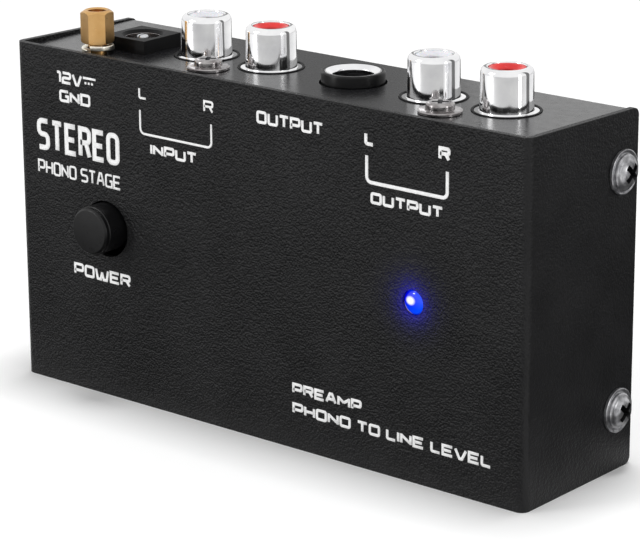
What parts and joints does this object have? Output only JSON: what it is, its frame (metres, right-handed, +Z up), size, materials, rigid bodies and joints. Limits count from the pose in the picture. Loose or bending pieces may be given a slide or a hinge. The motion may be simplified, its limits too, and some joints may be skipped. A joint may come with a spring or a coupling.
{
  "type": "phono preamp",
  "caption": "Phono preamp in a black two-part steel case: phono jacks, line jack, power jack and ground terminal on the panel, push button and lamp on the face.",
  "frame": {"origin": "middle of the rim that the case stands on, halfway across its width and depth", "axes": "+X to the right along the text face, +Y from the text face to the back plate, +Z up to the jack panel"},
  "size_m": [0.1106, 0.0352, 0.0649],
  "materials": {
    "cover_paint": "black wrinkle powder coat",
    "chassis_paint": "satin black powder coat",
    "case_screw_metal": "black zinc plated steel",
    "jack_screw_chrome": "bright nickel plate",
    "jack_chrome": "bright nickel plate",
    "plated_steel": "tin plate",
    "contact_brass": "bare spring brass",
    "ground_brass": "turned brass",
    "lock_washer_metal": "nickel plated spring steel",
    "foot_rubber": "moulded black rubber",
    "black_plastic": "black moulded plastic",
    "white_plastic": "white moulded plastic",
    "red_plastic": "red moulded plastic",
    "pale_plastic": "natural moulded plastic",
    "button_plastic": "smooth black plastic",
    "lamp_blue": "clear blue resin, lit",
    "green_insulation": "green wire insulation",
    "board_laminate": "bare laminate",
    "capacitor_sleeve": "blue shrink sleeve",
    "dark_sleeve": "black shrink sleeve",
    "film_capacitor_coat": "dipped red epoxy",
    "disc_capacitor_coat": "dipped tan ceramic coat",
    "resistor_coat": "pale blue lacquer"
  },
  "bodies": {
    "case": {"front_cover": "cover_paint", "chassis": "chassis_paint", "case_screws": "case_screw_metal", "rubber_feet": "foot_rubber", "circuit_board": "board_laminate", "board_standoffs": "plated_steel", "board_screws": "plated_steel", "input_jack_housing": "black_plastic", "output_jack_housing": "black_plastic", "jack_fixing_screws": "jack_screw_chrome", "input_left_shell": "jack_chrome", "input_right_shell": "jack_chrome", "output_left_shell": "jack_chrome", "output_right_shell": "jack_chrome", "input_left_insulator": "white_plastic", "input_right_insulator": "red_plastic", "output_left_insulator": "white_plastic", "output_right_insulator": "red_plastic", "input_left_contact": "contact_brass", "input_right_contact": "contact_brass", "output_left_contact": "contact_brass", "output_right_contact": "contact_brass", "line_jack_body": "black_plastic", "line_jack_ferrule": "jack_chrome", "line_jack_tip_contact": "contact_brass", "line_jack_ring_contact": "contact_brass", "power_jack_body": "black_plastic", "power_jack_pin": "plated_steel", "power_jack_contact": "contact_brass", "ground_stud": "ground_brass", "ground_inner_nut": "ground_brass", "ground_lug": "plated_steel", "ground_wire": "green_insulation", "switch_spring": "plated_steel", "switch_housing": "black_plastic", "switch_terminals": "plated_steel", "lamp_lens": "lamp_blue", "lamp_leads": "plated_steel", "op_amp_chip": "black_plastic", "op_amp_legs": "plated_steel", "electrolytic_capacitors": "capacitor_sleeve", "supply_capacitor": "dark_sleeve", "film_capacitors": "film_capacitor_coat", "disc_capacitors": "disc_capacitor_coat", "resistors": "resistor_coat", "supply_diode": "black_plastic", "voltage_regulator": "black_plastic", "supply_choke": "dark_sleeve"},
    "power_button": {"power_button_cap": "button_plastic", "switch_plunger": "pale_plastic"},
    "ground_washer": {"ground_lock_washer": "lock_washer_metal"},
    "terminal_nut": {"ground_nut": "ground_brass"}
  },
  "joints": [
    {"name": "power_button_press", "type": "slide", "parent": "case", "child": "power_button", "axis": [0, 1, 0], "range_m": [0, 0.0022], "stiffness_N_per_m": 600, "deforming": ["switch_spring"]},
    {"name": "ground_washer_lift", "type": "slide", "parent": "case", "child": "ground_washer", "axis": [0, 0, 1], "range_m": [0, 0.002]},
    {"name": "ground_nut_turn", "type": "hinge", "parent": "ground_washer", "child": "terminal_nut", "pos_m": [-0.0386, -0.0093, 0.0594], "axis": [0, 0, 1], "range_deg": [0, 1440]}
  ],
  "couplings": [
    {"joint": "ground_nut_turn", "follows": "ground_washer_lift", "rad_per_m": 12566}
  ]
}
